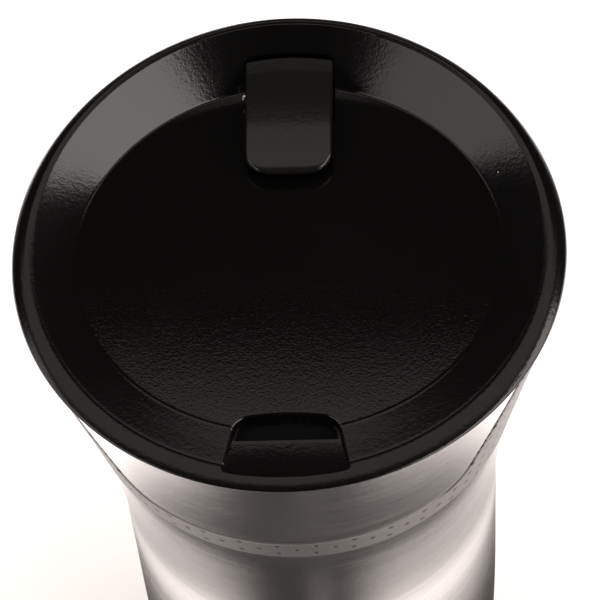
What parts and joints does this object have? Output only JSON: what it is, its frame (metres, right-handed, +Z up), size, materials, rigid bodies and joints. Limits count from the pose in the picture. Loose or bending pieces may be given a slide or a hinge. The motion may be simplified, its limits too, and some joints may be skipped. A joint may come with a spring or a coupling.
{
  "type": "insulated travel mug",
  "caption": "Waisted double-wall steel travel mug with a dotted grip sleeve and a push-in lid whose thumb lever opens the drink seal.",
  "frame": {"origin": "centre of the foot's underside, on the body's axis", "axes": "+Z up along the body's axis, -Y towards the drink opening, +Y towards the lever's hinge, +X to the right when seen from the drink opening's side"},
  "size_m": [0.0864, 0.0864, 0.1964],
  "materials": {
    "brushed_shell": "fine horizontal brushing",
    "bright_steel": "smooth bright steel",
    "foil": "thin copper-coloured foil",
    "grip_grey": "satin, with rows of small dimples",
    "lid_black": "satin, fine grain",
    "lever_black": "semi-gloss",
    "silicone": "matte"
  },
  "bodies": {
    "mug_body": {"outer_shell": "brushed_shell", "grip_sleeve": "grip_grey", "inner_cup": "bright_steel", "heat_foil": "foil", "getter": "bright_steel", "base_plate": "brushed_shell", "foot_ring": "silicone"},
    "lid": {"lid_shell": "lid_black", "lid_gasket": "silicone", "inner_cover": "lid_black", "cover_screw_1": "bright_steel", "cover_screw_2": "bright_steel", "cover_screw_3": "bright_steel", "cover_screw_4": "bright_steel", "plunger_ring": "silicone", "lever_pin": "bright_steel", "arm_pin": "bright_steel", "return_spring": "bright_steel"},
    "lever": {"lever_tab": "lever_black"},
    "plunger": {"plunger": "lid_black"},
    "seal_arm": {"seal_arm": "lid_black", "drink_seal": "silicone"}
  },
  "joints": [
    {"name": "lid_lift", "type": "slide", "parent": "mug_body", "child": "lid", "axis": [0, 0, 1], "range_m": [0, 0.06]},
    {"name": "lever_press", "type": "hinge", "parent": "lid", "child": "lever", "pos_m": [0, 0.0304, 0.1908], "axis": [1, 0, 0], "range_deg": [0, 5], "stiffness_Nm_per_rad": 0.8, "springref_deg": -2.29},
    {"name": "plunger_push", "type": "slide", "parent": "lid", "child": "plunger", "axis": [0, 0, -1], "range_m": [0, 0.00114]},
    {"name": "arm_swing", "type": "hinge", "parent": "lid", "child": "seal_arm", "pos_m": [0, 0.031, 0.1846], "axis": [1, 0, 0], "range_deg": [0, 4.8], "deforming": ["return_spring"]}
  ],
  "couplings": [
    {"joint": "plunger_push", "follows": "lever_press", "m_per_rad": 0.0129},
    {"joint": "arm_swing", "follows": "lever_press", "ratio": 0.9556}
  ]
}
